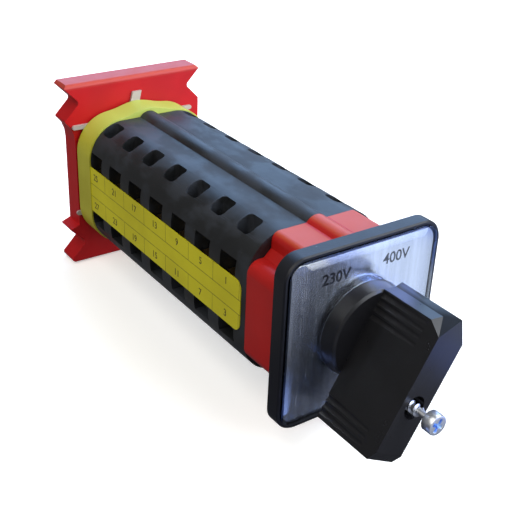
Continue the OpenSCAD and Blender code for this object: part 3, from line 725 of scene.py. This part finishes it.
def cross_cut(bm):
    """Sinks a tapered cross recess into the flat end of the screw head, while there is nothing else."""
    half_w = CROSS_W * MM / 2
    half_l = CROSS_L * MM / 2
    for normal in ((1, 0, 0), (0, 0, 1)):
        for distance in (-half_l, -half_w, half_w, half_l):
            cut(bm, Vector(normal) * distance, normal, FINE_CUT_SNAP)
    arms = []
    for face in bm.faces:
        middle = face.calc_center_median()
        x, z = abs(middle.x), abs(middle.z)
        if (x < half_w and z < half_l) or (z < half_w and x < half_l):
            arms.append(face)
    made = bmesh.ops.extrude_face_region(bm, geom=arms)["geom"]
    bmesh.ops.delete(bm, geom=arms, context="FACES")
    for item in made:
        if isinstance(item, bmesh.types.BMVert):
            item.co.x *= CROSS_TAPER
            item.co.z *= CROSS_TAPER
            item.co.y += CROSS_DEPTH * MM


def thread(bm):
    """Winds the V-shaped thread round the Y axis, closed at both ends."""
    turns = int((THREAD_REAR_Y - THREAD_FRONT_Y) / THREAD_PITCH) - 1
    start = THREAD_FRONT_Y * MM
    pitch = THREAD_PITCH * MM
    root = THREAD_ROOT_R * MM
    profile = (
        (THREAD_ROOT_R, 0.0), (THREAD_ROOT_R, 0.26), (THREAD_CREST_R, 0.44),
        (THREAD_CREST_R, 0.56), (THREAD_ROOT_R, 0.74), (THREAD_ROOT_R, 1.0),
    )
    verts = [bm.verts.new((0.0, start + part * pitch, radius * MM)) for radius, part in profile]
    edges = [bm.edges.new(pair) for pair in zip(verts, verts[1:])]
    bmesh.ops.spin(bm, geom=verts + edges, cent=(0, 0, 0), axis=(0, 1, 0),
                   dvec=(0, pitch / THREAD_SIDES, 0), angle=math.tau * turns, steps=THREAD_SIDES * turns)
    coil = [vert for vert in bm.verts if start - NEARLY < vert.co.y < THREAD_REAR_Y * MM + pitch
            and vert.co.xz.length > root - NEARLY]
    for vert in coil:
        past_start = vert.co.y - start - THREAD_START * pitch
        grown = min(1.0, max(0.0, past_start / (THREAD_GROWTH * pitch)))
        reach = vert.co.xz.length
        wanted = root + (reach - root) * grown
        vert.co.x *= wanted / reach
        vert.co.z *= wanted / reach
    bmesh.ops.remove_doubles(bm, verts=coil, dist=MERGE)
    open_edges = [edge for edge in bm.edges if len(edge.link_faces) == 1]
    bmesh.ops.holes_fill(bm, edges=open_edges, sides=0)


def handle_screw():
    """Captive screw with a crossed cheese head, a thin neck and a helical thread."""
    bm = bmesh.new()
    front = Matrix.Translation((0, HEAD_FRONT_Y * MM, 0)) @ Matrix.Rotation(math.radians(90), 4, "X")
    bmesh.ops.create_circle(bm, cap_ends=True, segments=SCREW_SIDES, radius=HEAD_FACE_R * MM, matrix=front)
    cross_cut(bm)
    rim = [edge for edge in bm.edges if len(edge.link_faces) == 1]
    head_rear = HEAD_FRONT_Y + HEAD_T
    for radius, place in (
        (HEAD_R - 0.1, HEAD_FRONT_Y + 0.08), (HEAD_R, HEAD_FRONT_Y + 0.35),
        (HEAD_R, head_rear - 0.25), (HEAD_R - 0.2, head_rear),
        (NECK_R + 0.35, head_rear), (NECK_R, head_rear + 0.3), (NECK_R, THREAD_REAR_Y - 0.6),
    ):
        rim = ring_on(bm, rim, radius * MM, place * MM)
    bmesh.ops.edgeloop_fill(bm, edges=rim)
    thread(bm)
    bmesh.ops.recalc_face_normals(bm, faces=bm.faces)
    into_bar = Matrix.Rotation(HANDLE_ANGLE, 4, "Y") @ Matrix.Translation((0, 0, -SCREW_OFFSET * MM))
    bmesh.ops.transform(bm, matrix=into_bar, verts=bm.verts)
    piece = new_piece("handle_screw_turned", bm, FINISHES["zinc_screw"])
    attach(piece, "handle_screw")
    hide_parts("handle_screw")


def words_mesh(name, words, height, bold):
    """Turns words into a flat mesh, centred on the origin."""
    curve = bpy.data.curves.new(name, "FONT")
    curve.body = words
    curve.size = height / CAPITAL_SHARE
    curve.align_x = "CENTER"
    curve.align_y = "CENTER"
    curve.offset = bold
    curve.resolution_u = 6
    shaper = bpy.data.objects.new(name + "_shaper", curve)
    bpy.context.scene.collection.objects.link(shaper)
    bpy.context.view_layer.update()
    mesh = bpy.data.meshes.new_from_object(shaper)
    bpy.data.objects.remove(shaper)
    return mesh


def lettering(name, words, centre, height, right, finish, bold, stretch=1.0):
    """Flat printed words on an upright surface, centred on a point and facing away from it."""
    mesh = words_mesh(name, words, height, bold)
    right = Vector(right)
    up = Vector((0, 0, 1))
    turn = Matrix((right, up, right.cross(up))).transposed().to_4x4()
    mesh.transform(Matrix.Translation(Vector(centre)) @ turn @ Matrix.Diagonal((stretch, 1.0, 1.0, 1.0)))
    bm = bmesh.new()
    bm.from_mesh(mesh)
    bpy.data.meshes.remove(mesh)
    piece = new_piece(name, bm, FINISHES[finish])
    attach(piece, "switch_body")


def legend_words():
    """The two voltages printed on the legend plate."""
    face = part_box("legend_plate")[0].y - LEGEND_LIFT * MM
    for words, x, z, bold in LEGENDS:
        lettering("legend_" + words, words, (x * MM, face, z * MM), LEGEND_HEIGHT * MM,
                  (1, 0, 0), "black_ink", bold * MM, LEGEND_STRETCH)


def label_numbers():
    """Terminal numbers along both rows of the label."""
    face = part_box("label_strip")[0].x - NUMBER_LIFT * MM
    for stage in range(STAGE_COUNT):
        y = (FIRST_NUMBER_Y + stage * STAGE_PITCH) * MM
        for number, z in ((4 * stage + 1, UPPER_NUMBER_Z), (4 * stage + 3, LOWER_NUMBER_Z)):
            lettering("label_number_%d" % number, str(number), (face, y, z * MM), NUMBER_HEIGHT * MM,
                      (0, -1, 0), "label_ink", NUMBER_BOLD * MM)


def hide_from(thing, *rays):
    """Makes a thing unseen by some kinds of rays."""
    for flag in rays:
        setattr(thing, flag, False)


def floor():
    """Pale floor, brighter far from the switch."""
    bm = bmesh.new()
    bmesh.ops.create_grid(bm, x_segments=1, y_segments=1, size=FLOOR_HALF)
    bmesh.ops.translate(bm, verts=bm.verts, vec=(0, 0, GROUND))
    finish = Finish("pale_floor")
    base = finish.blend(finish.noise(3.0, 2.0), (0.93, 0.93, 0.935), (0.95, 0.95, 0.95))
    far = finish.step(finish.length(finish.place), 0.5, 1.5)
    glow = finish.blend(far, (1.0, 0.995, 0.98), (2.5, 2.5, 2.48))
    ground = object_of("floor", bm, finish.surface(
        Base_Color=base, Roughness=0.95, Specular_IOR_Level=0.1, Emission_Color=glow, Emission_Strength=0.42,
    ))
    hide_from(ground, "visible_glossy", "visible_diffuse")


def backdrop():
    """A pale round wall far behind the floor, which only the camera sees."""
    bm = bmesh.new()
    bmesh.ops.create_circle(bm, segments=WALL_SIDES, radius=WALL_RADIUS)
    made = bmesh.ops.extrude_edge_only(bm, edges=bm.edges[:])["geom"]
    top = [item for item in made if isinstance(item, bmesh.types.BMVert)]
    bmesh.ops.translate(bm, verts=top, vec=(0, 0, WALL_HEIGHT))
    bmesh.ops.translate(bm, verts=bm.verts, vec=(0, 0, GROUND))
    finish = Finish("pale_wall")
    glow = finish.blend(finish.noise(0.5, 1.0), (0.98, 0.98, 0.975), (1.0, 1.0, 0.995))
    wall = object_of("backdrop", bm, finish.glowing(glow, 1.02))
    hide_from(wall, "visible_glossy", "visible_diffuse", "visible_shadow")


def glowing_sheet(name, size, place, finish):
    """A glowing sheet that only reflections see, placed by a matrix."""
    bm = bmesh.new()
    bmesh.ops.create_grid(bm, x_segments=1, y_segments=1, size=0.5)
    bmesh.ops.scale(bm, verts=bm.verts, vec=(size[0], size[1], 1.0))
    bmesh.ops.transform(bm, matrix=place, verts=bm.verts)
    sheet = object_of(name, bm, finish)
    hide_from(sheet, "visible_camera", "visible_diffuse", "visible_shadow")


def table():
    """A glowing sheet that only reflections see, in place of a tabletop in front: painted shade near the
    switch, painted blue and then pale reflected light to the right, and a painted bright patch on the left.
    """
    finish = Finish("table")
    across = finish.axis("X")
    along = finish.axis("Y")
    forward = finish.zone(along, -36.0, -62.0)
    blue = finish.zone(across, 35.0, 47.0) * finish.zone(along, -86.0, -68.0, 0.55, 1.0)
    pale = finish.zone(across, 51.0, 58.0) * finish.zone(along, -90.0, -74.0, 0.6, 1.0)
    far_right = finish.zone(across, 90.0, 110.0)
    beside = finish.zone(across, -22.0, -22.6) * finish.zone(across, -31.0, -25.0)
    near = finish.zone(along, -46.0, -18.0) * finish.zone(along, -8.0, -11.0)
    # Painted shade near the switch and painted reflected light further out, as the glow of the sheet
    glow = finish.blend(forward, (0.018, 0.019, 0.023), (0.07, 0.075, 0.09))
    glow = finish.blend(blue, glow, (0.125, 0.175, 0.48))
    glow = finish.blend(pale, glow, (0.19, 0.215, 0.26))
    glow = finish.blend(far_right, glow, (0.06, 0.09, 0.21))
    glow = finish.blend(beside * near, glow, (0.17, 0.25, 0.56))
    place = Matrix.Translation((0.2, -0.46, cad_low[2]))
    glowing_sheet("table", (1.0, 1.0), place, finish.glowing(glow, 4.5))


def window():
    """A tall bluish window low on the right, in front of the switch."""
    finish = Finish("window")
    high = finish.step(finish.axis("Z"), 0.18, 0.25)
    glow = finish.blend(high, (0.43, 0.54, 1.0), (0.8, 1.15, 2.4))
    place = Matrix.Translation((0.439, -0.409, 0.17)) @ Matrix.Rotation(WINDOW_TURN, 4, "Z")
    place = place @ Matrix.Rotation(math.radians(90), 4, "X")
    glowing_sheet("window", (0.28, 0.56), place, finish.glowing(glow, 4.4))


def area_light(name, place, size, power, colour):
    """A soft rectangular light that faces the middle of the switch."""
    lamp = bpy.data.lights.new(name, "AREA")
    lamp.shape = "RECTANGLE"
    lamp.size, lamp.size_y = size
    lamp.energy = power
    lamp.color = colour
    stand = bpy.data.objects.new(name, lamp)
    bpy.context.scene.collection.objects.link(stand)
    stand.location = place
    direction = Vector(LIT_POINT) - Vector(place)
    stand.rotation_euler = direction.to_track_quat("-Z", "Y").to_euler()


def lights():
    """Soft studio light from four sides, and a faint light from all round."""
    area_light("front_softbox", (0.57, -0.68, 0.35), (1.3, 1.1), 19.0, (0.93, 0.96, 1.0))
    area_light("back_softbox", (0.592, 0.8, 0.533), (1.1, 0.85), 8.6, (0.37, 0.6, 1.0))
    area_light("left_fill", (-0.6, -0.1, 0.75), (0.9, 0.9), 6.0, (1.0, 0.96, 0.88))
    area_light("right_ceiling", (0.56, 0.0, 0.79), (0.6, 0.6), 4.0, (0.85, 0.92, 1.0))
    world = bpy.data.worlds.new("pale_room")
    world.use_nodes = True
    background = world.node_tree.nodes["Background"]
    background.inputs["Color"].default_value = (0.93, 0.95, 1.0, 1.0)
    background.inputs["Strength"].default_value = 0.18
    bpy.context.scene.world = world


def camera():
    """The camera at the photograph's place and angle."""
    lens = bpy.data.cameras.new("camera")
    lens.sensor_width = SENSOR_WIDTH
    lens.lens = LENS
    lens.clip_start = NEAREST
    lens.clip_end = FARTHEST
    stand = bpy.data.objects.new("camera", lens)
    stand.location = CAMERA_PLACE
    stand.rotation_euler = [math.radians(angle) for angle in CAMERA_TURN]
    bpy.context.scene.collection.objects.link(stand)
    bpy.context.scene.camera = stand


camera()
floor()
backdrop()
table()
window()
lights()
finish_cad_nodes()
rounded_mouldings()
working_springs()
handle_screw()
legend_words()
label_numbers()
bpy.context.scene.view_settings.view_transform = "Standard"
